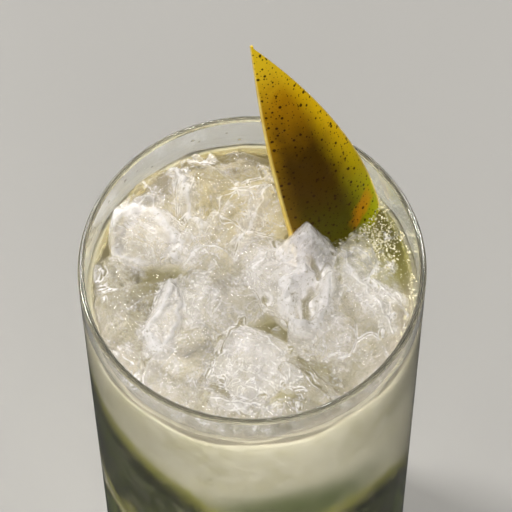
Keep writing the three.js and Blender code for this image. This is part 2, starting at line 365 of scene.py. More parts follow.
class Finish:
    """One material, built node by node."""

    def __init__(self, name):
        self.material = bpy.data.materials.new(name)
        self.material.use_nodes = True
        self.tree = self.material.node_tree
        self.tree.nodes.clear()

    def node(self, kind, settings=None, inputs=None, output=0):
        """Adds a node: its settings first, then its sockets' values or links."""
        made = self.tree.nodes.new(kind)
        for name, value in (settings or {}).items():
            setattr(made, name, value)
        for name, value in (inputs or {}).items():
            if isinstance(value, Value):
                self.tree.links.new(value.socket, made.inputs[name])
            else:
                made.inputs[name].default_value = value
        return None if output is None else Value(self, made.outputs[output])

    def place(self):
        return self.node("ShaderNodeTexCoord", output="Object")

    def stretched(self, scale, vector=None):
        return self.node("ShaderNodeMapping", None, {"Vector": vector or self.place(), "Scale": scale})

    def wavering(self, scale, reach):
        """Places moved by a noise: its colour, as a vector, times a reach."""
        noise = self.node("ShaderNodeTexNoise", None, {"Vector": self.place(), "Scale": scale}, "Color")
        moved = self.node("ShaderNodeVectorMath", {"operation": "SCALE"}, {0: noise, "Scale": reach})
        return self.node("ShaderNodeVectorMath", {"operation": "ADD"}, {0: self.place(), 1: moved})

    def attribute(self, name):
        return self.node("ShaderNodeAttribute", {"attribute_name": name}, output="Fac")

    def noise(self, scale, detail=3.0, roughness=0.5, distortion=0.0, vector=None):
        return self.node(
            "ShaderNodeTexNoise",
            None,
            {
                "Vector": vector or self.place(),
                "Scale": scale,
                "Detail": detail,
                "Roughness": roughness,
                "Distortion": distortion,
            },
        )

    def cells(self, scale, feature="F1", output="Distance", vector=None, dimensions="3D"):
        return self.node(
            "ShaderNodeTexVoronoi",
            {"feature": feature, "voronoi_dimensions": dimensions},
            {"Vector": vector or self.place(), "Scale": scale},
            output,
        )

    def thin_lines(self, scale, width):
        """1 on wandering lines, where a noise is near its middle: the square of how far it is off
        stays under a width."""
        off = self.noise(scale, 3, 0.55, 1.4) - 0.5
        return (off * off).ramp(width, 0.0)

    def blend(self, share, first, second):
        """A colour between two, by a share."""
        return self.node(
            "ShaderNodeMix",
            {"data_type": "RGBA"},
            {"Factor": share, 6: first, 7: second},
            output=2,
        )

    def bump(self, height, strength, distance, normal=None):
        links = {"Height": height, "Strength": strength, "Distance": distance}
        if normal:
            links["Normal"] = normal
        return self.node("ShaderNodeBump", None, links)

    def surface(self, **sockets):
        """A Principled shader, with its sockets named by words joined with underscores."""
        names = {"ior": "IOR", "specular_ior_level": "Specular IOR Level"}
        inputs = {
            names.get(name, name.replace("_", " ").title()): value for name, value in sockets.items()
        }
        return self.node("ShaderNodeBsdfPrincipled", None, inputs)

    def mixed(self, share, first, second):
        return self.node("ShaderNodeMixShader", None, {"Fac": share, 1: first, 2: second})

    def done(self, shader):
        self.node("ShaderNodeOutputMaterial", None, {"Surface": shader}, None)
        return self.material


def clear_glass():
    finish = Finish("clear_glass")
    return finish.done(
        finish.surface(
            base_color=linear(250, 252, 251),
            roughness=0.0,
            ior=1.5,
            transmission_weight=1.0,
        )
    )


def cloudy_drink():
    """Thin wisps of cloud in a clear pale liquid."""
    finish = Finish("cloudy_drink")
    wisps = finish.noise(95, 7, 0.7, 1.8, finish.stretched((1, 1, 0.6)))
    liquid = finish.surface(
        base_color=linear(248, 245, 232),
        roughness=0.34,
        ior=1.33,
        transmission_weight=1.0,
        specular_tint=(0.2, 0.2, 0.2, 1),
    )
    cloud = finish.surface(base_color=linear(226, 218, 196), roughness=0.35)
    return finish.done(finish.mixed(0.16 * wisps.ramp(0.46, 0.72), liquid, cloud))


def drink_depths():
    """The cloud that closes the drink's depths. Its top is darker between the ice pieces, which is
    painted shade, and whiter under them, greyer by the front wall, golden at the back, which is
    a painted glow of light from behind, and lime where the drink lies open. Its side is streaky
    cream, dark green with a yellower border by leaves and grey-green by hidden ones."""
    finish = Finish("drink_depths")
    wisps = finish.noise(60, 5, 0.6, 1.0)
    white = finish.attribute("white")
    ridge = finish.attribute("ridge")
    cover = finish.attribute("cover")
    share = (0.1 + 0.5 * white + 0.2 * ridge + 1.2 * (wisps - 0.5)).ramp(0.0, 1.0)
    # Between the ice pieces the top is painted darker, as shade; under them it is whiter.
    shaded_gaps = finish.blend(share, linear(102, 96, 62), linear(143, 137, 102))
    under = finish.blend(share, linear(128, 122, 96), linear(170, 164, 144))
    packed = finish.blend(cover, shaded_gaps, under)
    packed = finish.blend(0.6 * finish.attribute("rimward"), packed, linear(176, 169, 157))
    # At the back the top is painted golden: a glow of light from behind through the drink.
    golden = finish.blend(share, linear(131, 119, 72), linear(167, 155, 113))
    packed = finish.blend(0.75 * finish.attribute("backward"), packed, golden)
    limed = finish.blend(share, linear(118, 114, 58), linear(150, 146, 94))
    cream = finish.blend(finish.attribute("open"), packed, limed)
    streaks = finish.noise(150, 6, 0.7, 1.6, finish.stretched((1, 1, 0.45)))
    leafy = finish.attribute("leafy") + 0.35 * (wisps - 0.5) + 0.55 * (streaks - 0.5)
    cloudy = (0.4 * wisps + 0.6 * streaks).ramp(0.3, 0.7)
    pale = finish.blend(cloudy, linear(188, 183, 154), linear(234, 230, 220))
    mist = finish.attribute("misted") + 0.4 * (streaks - 0.5)
    misted = finish.blend(mist.ramp(0.0, 1.0), pale, linear(96, 104, 66))
    edged = finish.blend(leafy.ramp(0.0, 0.4), misted, linear(146, 144, 66))
    side = finish.blend(leafy.ramp(0.25, 0.9), edged, linear(44, 48, 12))
    body = finish.blend(finish.attribute("side"), cream, side)
    return finish.done(finish.surface(base_color=body, roughness=0.6))


def wet_ice():
    """Clear wet ice with a chipped and rippled skin. Its white is partly frost and partly painted
    light: white that differs by facet and also paints the lamps' sheen on the tops, snowy white
    with a painted highlight on the whitest crests, broken white edges that are painted highlights,
    scratches and specks. Its creases, cracks and pits are painted olive-dark as shade."""
    finish = Finish("wet_ice")
    ridge = finish.attribute("ridge")
    frost = finish.attribute("frost")
    bare = finish.attribute("bare")
    veils = finish.noise(170, 8, 0.72, 1.2)
    fine = finish.noise(800, 4, 0.6, 0.4)
    parts = finish.noise(110, 3, 0.5)
    flecks = finish.noise(1250, 3, 0.65, 0.4)
    valley = finish.attribute("valley") + 0.5 * (veils - 0.5)
    outline = parts.ramp(0.47, 0.6) * valley.ramp(0.2, 0.45) * valley.ramp(0.75, 0.5)
    broken = fine.ramp(0.3, 0.55)
    # White lines on facet edges, crests and piece outlines are painted highlights, broken by a noise.
    facet_highlight = 0.7 * ridge.ramp(0.62, 1.0) * veils.ramp(0.46, 0.6)
    crest_highlight = finish.attribute("crest").ramp(0.6, 1.0)
    edge = broken * facet_highlight.at_least(crest_highlight).at_least(outline)
    # White by facet is partly frost and partly the lamps' sheen painted on the tops.
    frost_and_sheen_patches = (veils + 0.55 * (frost - 0.3)).ramp(0.46, 0.62)
    clusters = veils.ramp(0.36, 0.56)
    scratches = finish.thin_lines(170, 0.0002) * parts.ramp(0.5, 0.62)
    cracks = finish.thin_lines(130, 0.00012) * parts.ramp(0.52, 0.42)
    specks = clusters * flecks.ramp(0.58, 0.64)
    thin = (0.85 * edge).at_least(0.5 * scratches).at_least(0.45 * specks)
    # The whitest crests get a snowy white that is partly a painted highlight.
    snow_and_highlight = (frost + 0.6 * (veils - 0.5)).ramp(0.85, 1.25)
    frost_and_highlight_share = bare * (0.34 * frost_and_sheen_patches + 0.45 * snow_and_highlight + thin)
    grain = finish.bump(finish.noise(1700, 3, 0.6), 0.35, 0.0003)
    chipped = finish.bump(finish.cells(420, vector=finish.wavering(260, 0.004)), 0.55, 0.0009, grain)
    ripple = finish.bump(finish.noise(520, 5, 0.65, 0.5), 0.4, 0.0006, chipped)
    # Creases, valleys, cracks and pits are painted olive-dark: painted shade.
    pits = ((0.45 + 0.4 * snow_and_highlight) * clusters * flecks.ramp(0.43, 0.38)).at_least(0.45 * cracks)
    crease_shade = bare * (parts.ramp(0.3, 0.55) * valley.ramp(0.62, 0.95)).at_least(pits)

    def wet(colour, roughness, clearness):
        return finish.surface(
            base_color=linear(*colour),
            roughness=roughness,
            ior=1.31,
            transmission_weight=clearness,
            normal=ripple,
        )

    clear = wet((253, 253, 252), 0.01, 1.0)
    white = wet((246, 245, 247), 0.08, 0.15)
    # The olive-dark surface that paints the shade in creases, cracks and pits.
    deep = wet((128, 120, 76), 0.1, 0.4)
    ice = finish.mixed(frost_and_highlight_share.at_least(0.0).at_most(0.85), clear, white)
    return finish.done(finish.mixed(0.7 * crease_shade, ice, deep))


def ice_veils():
    """White veils in the ice, see-through by a fine broken noise, with thin white cracks."""
    finish = Finish("ice_veils")
    white = finish.attribute("white")
    broken = finish.noise(260, 6, 0.7, 1.0)
    lines = finish.thin_lines(200, 0.0003)
    share = (0.02 + 0.22 * white) * broken.ramp(0.35, 0.65) + 0.14 * lines
    return finish.done(
        finish.surface(base_color=linear(228, 226, 230), roughness=0.5, alpha=share)
    )


def mango():
    """Waxy skin, partly in its own colours and partly in painted light: golden at the tip and bright
    yellow high on the curved edge, a painted glow where light from behind shines through the thin
    slice; ochre at the straight edge; amber darkening to olive brown down the middle, which is
    painted shade where the skin faces away from the lamps; lime lower along the curved edge with an
    orange patch low down, dark dots, and pale fibrous cut flesh."""
    finish = Finish("mango")
    across = finish.attribute("across")
    along = finish.attribute("along")
    flesh = finish.attribute("flesh")
    on_skin = finish.node("ShaderNodeUVMap", {"uv_map": "skin"})
    mottle = finish.noise(16, 5, 0.65, 0.6, on_skin)
    lower = along + 0.16 * (mottle - 0.5)
    left = finish.blend(lower.ramp(0.28, 0.66), linear(186, 138, 10), linear(118, 88, 10))
    # Down the middle the skin darkens to olive brown: painted shade, as it faces away from the lamps.
    middle = finish.blend(lower.ramp(0.16, 0.52), linear(200, 143, 4), linear(76, 53, 2))
    # High on the curved edge the bright yellow is a painted glow of light through the thin edge.
    right = finish.blend(lower.ramp(0.4, 0.82), linear(252, 206, 12), linear(160, 162, 2))
    # Lower still the middle is painted darker olive, the same painted shade.
    middle = finish.blend(lower.ramp(0.6, 0.86), middle, linear(74, 70, 3))
    sideways = across + 0.2 * (mottle - 0.5)
    inner = finish.blend(sideways.ramp(0.2, -0.02), middle, left)
    outer = finish.blend(sideways.ramp(0.56, 1.0), inner, right)
    # The golden tip is a painted glow of light through the thin tip.
    skin = finish.blend(lower.ramp(0.27, 0.06), outer, linear(255, 216, 38))
    beside, under = (sideways - 0.78) / 0.2, (lower - 0.815) / 0.07
    uphill, downhill = (beside - under) / 1.7, (beside + under) / 0.8
    off = uphill * uphill + downhill * downhill
    patched = finish.blend(0.6 * off.ramp(1.3, 0.0), skin, linear(210, 130, 8))
    spots = self_sized_dots(finish, on_skin, 66, 0.25)
    specks = self_sized_dots(finish, on_skin, 115, 0.24)
    dotted = finish.blend((0.9 * spots).at_least(0.75 * specks), patched, linear(46, 22, 3))
    fibres = finish.noise(22, 4, 0.6, 0.3, finish.stretched((9, 1, 1), on_skin))
    fruit = finish.blend(fibres.ramp(0.3, 0.7), linear(236, 200, 84), linear(252, 230, 138))
    colour = finish.blend(flesh, dotted, fruit)
    pores = finish.bump(finish.noise(60, 3, 0.5, 0, on_skin), 0.2, 0.0004)
    return finish.done(
        finish.surface(
            base_color=colour,
            roughness=0.4,
            specular_ior_level=0.12,
            normal=pores,
        )
    )


def self_sized_dots(finish, vector, scale, largest):
    """Dots in the cells of a grid, each as large as the square of its cell's own random share."""
    distance = finish.cells(scale, "F1", "Distance", vector, "2D")
    pick = finish.cells(scale, "F1", "Color", vector, "2D")
    share = finish.node("ShaderNodeSeparateColor", None, {"Color": pick}, "Red")
    return (distance / (0.01 + largest * share * share)).ramp(1.15, 0.7)


def mint():
    """Sunk mint leaf: green with paler veins. A misty one is darker and has a softer margin."""
    finish = Finish("mint")
    across = finish.attribute("across")
    misty = finish.attribute("misty")
    tone = finish.noise(120, 3, 0.6)
    slant = finish.node("ShaderNodeMath", {"operation": "PINGPONG"}, {0: finish.attribute("slant"), 1: 0.5})
    vein = (across * across).ramp(0.006, 0.0).at_least(0.7 * slant.ramp(0.1, 0.0))
    fresh = finish.blend(tone.ramp(0.3, 0.7), linear(62, 78, 20), linear(92, 106, 34))
    dark = finish.blend(tone.ramp(0.3, 0.7), linear(34, 40, 6), linear(60, 68, 12))
    veined = finish.blend(0.5 * vein, fresh, linear(150, 158, 84))
    colour = finish.blend(misty, veined, dark)
    body = (across * across + 0.5 * (tone - 0.5)).ramp(0.95, 0.25)
    return finish.done(
        finish.surface(base_color=colour, roughness=0.45, alpha=1 - misty * (1 - body))
    )


def foam_film():
    """Bright film of small bubbles, paler by a fine noise."""
    finish = Finish("foam_film")
    tone = finish.noise(900, 2, 0.5)
    colour = finish.blend(tone, linear(226, 220, 180), linear(252, 250, 238))
    return finish.done(
        finish.surface(base_color=colour, roughness=0.05, ior=1.33, transmission_weight=0.45)
    )


def water():
    """Clear drops, faintly clouded by a fine noise."""
    finish = Finish("water")
    tone = finish.noise(1500, 2, 0.5)
    colour = finish.blend(tone, linear(244, 244, 238), linear(253, 253, 251))
    return finish.done(
        finish.surface(base_color=colour, roughness=0.0, ior=1.33, transmission_weight=1.0)
    )


def pale_floor():
    finish = Finish("pale_floor")
    grain = finish.noise(6, 2, 0.5)
    tone = finish.blend(grain, linear(178, 178, 176), linear(184, 184, 182))
    return finish.done(finish.surface(base_color=tone, roughness=0.7))


# Pieces


def put_piece(name, shape, material, attributes=None, uv=None):
    """A smooth mesh object from a shape, with named values at its points."""
    mesh = bpy.data.meshes.new(name)
    loops = np.concatenate([shape.quads.ravel(), shape.triangles.ravel()]).astype(np.int32)
    sides = np.concatenate([np.full(len(shape.quads), 4), np.full(len(shape.triangles), 3)])
    starts = np.concatenate([[0], np.cumsum(sides)[:-1]]).astype(np.int32)
    mesh.vertices.add(len(shape.points))
    mesh.vertices.foreach_set("co", (shape.points * MM).astype(np.float32).ravel())
    mesh.loops.add(len(loops))
    mesh.loops.foreach_set("vertex_index", loops)
    mesh.polygons.add(len(starts))
    mesh.polygons.foreach_set("loop_start", starts)
    mesh.polygons.foreach_set("use_smooth", np.ones(len(starts), bool))
    mesh.update(calc_edges=True)
    for key, values in (attributes or {}).items():
        layer = mesh.attributes.new(key, "FLOAT", "POINT")
        layer.data.foreach_set("value", np.asarray(values, np.float32).ravel())
    for key, places in (uv or {}).items():
        layer = mesh.uv_layers.new(name=key)
        layer.data.foreach_set("uv", places[loops].astype(np.float32).ravel())
    mesh.materials.append(material)
    made = bpy.data.objects.new(name, mesh)
    bpy.context.scene.collection.objects.link(made)
    return made


def glass_profile():
    """Radius and height from the foot's middle round the heel, up the wall, over the round lip and
    down the bowl to its floor's middle."""
    lip = WALL / 2
    heel = GLASS_RADIUS - HEEL_RADIUS
    bowl = INNER_RADIUS - BOWL_FILLET
    return np.concatenate(
        [
            run((0, 0), (heel - 0.4, 0), 8),
            arc((heel, HEEL_RADIUS), HEEL_RADIUS, -90, 0, 14),
            run((GLASS_RADIUS, HEEL_RADIUS + 0.5), (GLASS_RADIUS, GLASS_HEIGHT - lip - 0.3), 8),
            arc((GLASS_RADIUS - lip, GLASS_HEIGHT - lip), lip, 0, 180, 17),
            run((INNER_RADIUS, GLASS_HEIGHT - lip - 0.3), (INNER_RADIUS, BASE + BOWL_FILLET + 0.5), 8),
            arc((bowl, BASE + BOWL_FILLET), BOWL_FILLET, 0, -90, 14),
            run((bowl - 0.5, BASE), (0, BASE), 8),
        ]
    )


def drink_profile():
    """Radius and height of the drink's floor and side, which reach just into the wall."""
    radius = INNER_RADIUS + INTO_WALL
    floor = BASE - INTO_WALL
    bowl = radius - BOWL_FILLET
    return np.concatenate(
        [
            run((0, floor), (bowl - 0.5, floor), 8),
            arc((bowl, floor + BOWL_FILLET), BOWL_FILLET, -90, 0, 14),
            run((radius, floor + BOWL_FILLET + 0.5), (radius, DRINK_LEVEL - 0.5), 40),
        ]
    )


def smooth_step(value, low, high):
    share = np.clip((value - low) / (high - low), 0, 1)
    return share * share * (3 - 2 * share)


def liquid_height(x, y):
    """Height of the open drink: its level with low ripples, and a climb up the wall that falls to
    one over e within the meniscus's reach and is higher and lower by waves round the wall."""
    turn = np.arctan2(y, x)
    uneven = 0.9 + 0.5 * np.sin(5 * turn + 0.6) * np.sin(3 * turn) + 0.25 * np.sin(17 * turn)
    climb = uneven * np.exp(-np.maximum(INNER_RADIUS - np.hypot(x, y), 0) / MENISCUS_REACH)
    ripple = 0.12 * np.sin(0.9 * x + 0.4 * y) * np.sin(0.7 * y - 0.3 * x)
    return DRINK_LEVEL + climb + ripple


def rings(radii, steps):
    """Places in plan on rings of these radii, as grids of x and y."""
    turn = np.linspace(0, 2 * np.pi, steps, endpoint=False)[None]
    reach = np.asarray(radii)[:, None]
    return reach * np.cos(turn), reach * np.sin(turn)


def topped(profile, radii, height, steps):
    """A body of revolution up to its top, and a top that has a height over every place on rings
    from its edge to the middle."""
    x, y = rings(np.concatenate([profile[1:, 0], radii]), steps)
    side = np.repeat(profile[1:, 1][:, None], steps, axis=1)
    top = height(x[len(profile) - 1 :], y[len(profile) - 1 :])
    points = np.stack([x, y, np.concatenate([side, top])], axis=-1)
    middle = height(np.zeros((1, 1)), np.zeros((1, 1)))[0, 0]
    return capped_grid(points, (0, 0, profile[0, 1]), (0, 0, middle))


def drink_body():
    """The drink, with a pocket in its top that holds the packed ice."""
    pocket = ICE_REACH - INTO_WALL

    def height(x, y):
        return np.where(np.hypot(x, y) > pocket, liquid_height(x, y), DRINK_LEVEL - POCKET_DEPTH)

    edge = np.linspace(INNER_RADIUS + INTO_WALL, pocket + 0.001, 8)
    floor = np.linspace(pocket - 0.001, 2, 12)
    return topped(drink_profile(), np.concatenate([edge, floor]), height, ROUND_STEPS)


def seeded_draws(seed, count):
    """Even draws from 0 to 1: each state is the last times 1664525 plus 1013904223, modulo 2^32."""
    state = seed * 2654435761 % 2**32
    draws = []
    for _ in range(count):
        state = (state * 1664525 + 1013904223) % 2**32
        draws.append(state / 2**32)
    return np.array(draws)


def facets_of(seed):
    """Facet directions on a golden spiral, each jittered, and their distances."""
    draws = seeded_draws(seed, 3 * FACETS).reshape(FACETS, 3)
    step = np.arange(FACETS)
    height = np.clip(1 - (2 * step + 1) / FACETS + (draws[:, 0] - 0.5) * FACET_JITTER / 2, -1, 1)
    angle = step * GOLDEN_ANGLE + (draws[:, 1] - 0.5) * 2 * FACET_JITTER
    level = np.sqrt(1 - height**2)
    normals = np.stack([level * np.cos(angle), level * np.sin(angle), height], axis=-1)
    return normals, FACET_NEAREST + (1 - FACET_NEAREST) * draws[:, 2]


def waves(points, seed, length, count=7):
    """A sum of sines in seeded directions, about one unit high, with crests a length apart."""
    rng = np.random.default_rng(seed)
    directions = rng.normal(size=(count, 3))
    directions /= np.linalg.norm(directions, axis=1, keepdims=True)
    pace = 2 * np.pi / length * rng.uniform(0.6, 1.7, count)
    phase = rng.uniform(0, 2 * np.pi, count)
    return np.sin(points @ (directions * pace[:, None]).T + phase).sum(axis=-1) / np.sqrt(count)


def slice_frame():
    """The slice's axes and foot in the drink's frame: a turn about Z, then a lean, then a roll."""
    turn = Matrix.Rotation(math.radians(SLICE_TURN), 3, "Z")
    lean = Matrix.Rotation(-math.radians(SLICE_LEAN), 3, "X")
    roll = Matrix.Rotation(math.radians(SLICE_ROLL), 3, "Y")
    return np.array(turn @ lean @ roll), np.array(SLICE_FOOT)


def slice_edges(below):
    """Where the straight and curved edges lie at a distance below the tip. The curved edge sweeps
    out as one less a power of the share left, and rounds in again at the foot."""
    share = np.clip(below / WIDEST_BELOW_TIP, 0, 1)
    past = np.clip((below - WIDEST_BELOW_TIP) / END_ROUNDNESS, 0, 1)
    curved = SLICE_WIDTH * (1 - (1 - share) ** SLICE_SWEEP) * np.sqrt(1 - past**2)
    straight = -STRAIGHT_EDGE_BOW * np.sin(np.pi * np.clip(below / SLICE_ABOVE, 0, 1))
    return straight, np.maximum(curved, straight + TIP_WIDTH)


def slice_plate(below, across):
    """Crown and thickness of the slice at a distance below the tip and a share across it."""
    straight, curved = slice_edges(below)
    width = curved - straight
    crown = SLICE_CROWN * 4 * across * (1 - across) * width / SLICE_WIDTH
    along = below / SLICE_LENGTH
    straight_edge = TIP_THICKNESS + (STRAIGHT_EDGE_THICKNESS - TIP_THICKNESS) * along
    curved_edge = TIP_THICKNESS + (CURVED_EDGE_THICKNESS - TIP_THICKNESS) * along
    return crown, straight_edge + (curved_edge - straight_edge) * across


class IcePiece(NamedTuple):
    """A piece of ice: its place in plan, top, half sizes, turn in degrees, seed, whiteness and the
    sharpness of its edges."""

    place: tuple
    top: float
    half: tuple
    turn: float
    seed: int
    white: float
    sharpness: float = FACET_SHARPNESS


def gauge(points, normals, distances, sharpness):
    """1 on a soft polyhedron, less inside it and more outside: the high-order sum of the facets'
    closeness, which is the cosine to a facet over its distance."""
    closeness = np.maximum(0, points @ normals.T / distances)
    return (closeness**sharpness).sum(axis=-1) ** (1 / sharpness)


def piece_height(piece, x, y):
    """Height of one ice piece over flat lists of places, found by halving between a height inside
    it and one above it, with how near an edge it is and how white. Beside it the height is 0."""
    normals, distances = facets_of(piece.seed)
    facets = normals, distances, piece.sharpness
    c, s = math.cos(math.radians(piece.turn)), math.sin(math.radians(piece.turn))
    u = (c * (x - piece.place[0]) + s * (y - piece.place[1])) / piece.half[0]
    v = (c * (y - piece.place[1]) - s * (x - piece.place[0])) / piece.half[1]
    spot = np.stack([u, v, np.zeros_like(u)], axis=-1)
    up = np.array([0.0, 0, 1])
    tries = np.linspace(-0.6, 1.2, 10)
    inner = np.stack([gauge(spot + up * step, *facets) for step in tries])
    low = tries[inner.argmin(axis=0)]
    high = np.full_like(low, 1.6)
    for _ in range(20):
        middle = (low + high) / 2
        inside = gauge(spot + up * middle[:, None], *facets) < 1
        low, high = np.where(inside, middle, low), np.where(inside, high, middle)
    summit = sphere_directions(40, 60)
    highest = (summit[..., 2] / gauge(summit, *facets)).max()
    height = DRINK_LEVEL + piece.top + piece.half[2] * (low - highest)
    closeness = np.maximum(0, (spot + up * low[:, None]) @ normals.T / distances)
    nearest = np.sort(closeness, axis=-1)[:, -2:]
    ridge = np.exp(-(1 - nearest[:, 0] / np.maximum(nearest[:, 1], 1e-6)) / 0.05)
    ridge = ridge * min(1, piece.sharpness / FACET_SHARPNESS) ** 2
    weight = closeness**piece.sharpness + 1e-9
    tone = weight @ ((np.arange(FACETS) * 0.618 + piece.seed * 0.37) % 1) / weight.sum(axis=-1)
    covered = inner.min(axis=0) < 1
    return np.where(covered, height, 0), ridge, piece.white + 0.3 * (tone - 0.5)


def layer_of(pieces, floor, x, y, softness=5.0):
    """The top of a layer of ice pieces over places in plan: the soft highest of the pieces and a
    floor. With it come how near an edge and how white the highest piece is there, and how near
    the next highest comes to it, as one over e for each 0.45 mm below."""
    flat_x, flat_y = x.ravel(), y.ravel()
    total = np.exp(softness * (floor.ravel() - DRINK_LEVEL))
    best, second = floor.ravel().copy(), np.zeros(x.size)
    ridge, frost = np.zeros(x.size), np.zeros(x.size)
    for piece in pieces:
        reach = 1.35 * max(piece.half[:2])
        near = np.hypot(flat_x - piece.place[0], flat_y - piece.place[1]) < reach
        if not near.any():
            continue
        height, edge, white = piece_height(piece, flat_x[near], flat_y[near])
        total[near] += np.exp(softness * (height - DRINK_LEVEL))
        higher = height > best[near]
        second[near] = np.maximum(second[near], np.minimum(height, best[near]))
        best[near] = np.where(higher, height, best[near])
        ridge[near] = np.where(higher, edge, ridge[near])
        frost[near] = np.where(higher, white, frost[near])
    top = DRINK_LEVEL + np.log(total) / softness
    values = {"ridge": ridge, "frost": frost, "valley": np.exp((second - best) / 0.45)}
    return top.reshape(x.shape), {key: value.reshape(x.shape) for key, value in values.items()}


def padded(before, values, ends):
    """Values on a grid as one list: a number for each point before it, then the grid, then its
    shape's two end points."""
    return {
        key: np.concatenate([np.full(before, ends[key]), value.ravel(), [ends[key], value[-1].mean()]])
        for key, value in values.items()
    }


def shown_pieces():
    return [IcePiece(*piece) for piece in ICE_PIECES]


def chips():
    """Small chips on the lowest of many seeded places in plan: larger ones on the very lowest and
    crumbs on the rest."""
    rng = np.random.default_rng(11)
    reach = (ICE_REACH - 1.5) * np.sqrt(rng.random(CHIP_PLACES))
    angle = rng.uniform(0, 2 * np.pi, CHIP_PLACES)
    x, y = reach * np.cos(angle), reach * np.sin(angle)
    top, _ = layer_of(shown_pieces(), np.full(x.shape, DRINK_LEVEL), x, y)
    made = []
    for order, index in enumerate(np.argsort(top)[:CHIPS]):
        size = LARGE_CHIP_HALF if order < LARGE_CHIPS else CRUMB_HALF
        half = tuple(rng.uniform(*size, 3))
        rise = top[index] - DRINK_LEVEL + rng.uniform(0.15, 0.55) * half[2] / 1.5
        turn = 360 * rng.random()
        seed = FIRST_CHIP_SEED + index
        made.append(IcePiece((x[index], y[index]), rise, half, turn, seed, CHIP_WHITENESS))
    return made


def distance_to(path, x, y):
    """How far places in plan are from a path of straight lines: the least distance to a line's
    nearest point, which lies at the share of the line that the place projects to."""
    nearest = np.full(x.shape, np.inf)
    for start, end in zip(path[:-1], path[1:]):
        along = np.subtract(end, start)
        share = ((x - start[0]) * along[0] + (y - start[1]) * along[1]) / (along @ along)
        share = np.clip(share, 0, 1)
        nearest = np.minimum(
            nearest, np.hypot(x - start[0] - share * along[0], y - start[1] - share * along[1])
        )
    return nearest


def relief(x, y):
    """Crests, cracks and hollows over places in plan, on wavering paths: a crest or crack is a tent
    as high or deep as its height on its path and nothing at its half width, and a hollow a bell.
    With the height come how near a crest's path, how white and how deep in a crack or hollow a
    place is."""
    plan = np.stack([x, y, np.zeros_like(x)], axis=-1)
    x, y = x + 0.3 * waves(plan, 73, 3.5), y + 0.3 * waves(plan, 74, 3.5)
    height, edge, white, crack = (np.zeros(x.shape) for _ in range(4))
    for rise, width, whiteness, path in ICE_CRESTS:
        away = distance_to(path, x, y)
        height += rise * np.maximum(0, 1 - away / width)
        if rise > 0:
            edge = np.maximum(edge, np.exp(-away / 0.5))
            white = np.maximum(white, whiteness * np.exp(-((away / width) ** 2)))
        else:
            crack = np.maximum(crack, np.exp(-((2 * away / width) ** 2)))
    for place, radius, depth in ICE_HOLLOWS:
        bell = np.exp(-((x - place[0]) ** 2 + (y - place[1]) ** 2) / radius**2)
        height -= depth * bell
        crack = np.maximum(crack, bell)
    return height, edge * (1 - crack), white * (1 - crack), crack


def heap_top(pieces, x, y):
    """The wet ice's top over places in plan: its pieces with their relief and dents, wherever they
    stand clear of the drink. Returns it with its values."""
    liquid = liquid_height(x, y)
    top, values = layer_of(pieces, liquid, x, y)
    bare = smooth_step(top - liquid, 0.2, 1.2)
    plan = np.stack([x, y, top], axis=-1)
    dents = 0.2 * waves(plan, 71, 6.0) + 0.1 * waves(plan, 72, 2.6)
    raised, edge, white, crack = relief(x, y)
    values["crest"] = edge
    # Crest whiteness adds to the frost: partly frost and partly a painted highlight.
    values["frost"] = values["frost"] + white
    values["valley"] = np.maximum(values["valley"] * (1 - edge), crack)
    values["bare"] = bare
    return np.maximum(top + bare * (np.minimum(dents, 0.12) + raised), liquid - 0.5), values


def sunk_pieces():
    """Pieces on a golden spiral, sunk in the cloud under the ones that show."""
    rng = np.random.default_rng(5)
    made = []
    for step in range(SUNK_PIECES):
        radius = SUNK_REACH * math.sqrt((step + 0.5) / SUNK_PIECES)
        angle = step * GOLDEN_ANGLE
        place = (radius * math.cos(angle), radius * math.sin(angle))
        half = tuple(rng.uniform(*SUNK_HALF, 3))
        turn = 360 * rng.random()
        top = rng.uniform(*SUNK_TOP)
        made.append(IcePiece(place, top, half, turn, FIRST_SUNK_SEED + step, rng.uniform(0, 1)))
    return made


def cloudy_heart(piece, shrink):
    """The white heart of a piece: its own soft polyhedron, shrunk about its middle, with how white
    the piece is as its value."""
    normals, distances = facets_of(piece.seed)
    directions = sphere_directions(22, 32)
    everything = np.concatenate([directions.reshape(-1, 3), [(0, 0, -1), (0, 0, 1)]])
    reach = 1 / gauge(everything, normals, distances, piece.sharpness)
    lobes = 1 + 0.06 * waves(everything, piece.seed, 1.1)
    local = everything * (reach * lobes)[:, None] * piece.half
    middle = DRINK_LEVEL + piece.top - local[:, 2].max()
    c, s = math.cos(math.radians(piece.turn)), math.sin(math.radians(piece.turn))
    turned = local @ np.array([[c, s, 0], [-s, c, 0], [0, 0, 1]])
    points = kept_inside(shrink * turned + (*piece.place, middle), ICE_REACH - 0.3)
    above, _ = heap_top(shown_pieces(), points[:, 0], points[:, 1])
    points[:, 2] = np.minimum(points[:, 2], above - 0.25)
    shape = capped_grid(points[:-2].reshape(directions.shape), points[-2], points[-1])
    return shape, np.full(len(points), piece.white)


def cloudy_hearts():
    """Three hearts in each piece, one inside the other, so that it whitens with its depth."""
    made = [cloudy_heart(piece, shrink) for piece in shown_pieces() for shrink in HEART_SIZES]
    return joined([shape for shape, _ in made]), np.concatenate([white for _, white in made])


def kept_inside(points, radius):
    """Points past a radius are drawn in to it."""
    reach = np.linalg.norm(points[..., :2], axis=-1, keepdims=True)
    share = np.minimum(1, radius / np.maximum(reach, 1e-9))
    return np.concatenate([points[..., :2] * share, points[..., 2:]], axis=-1)


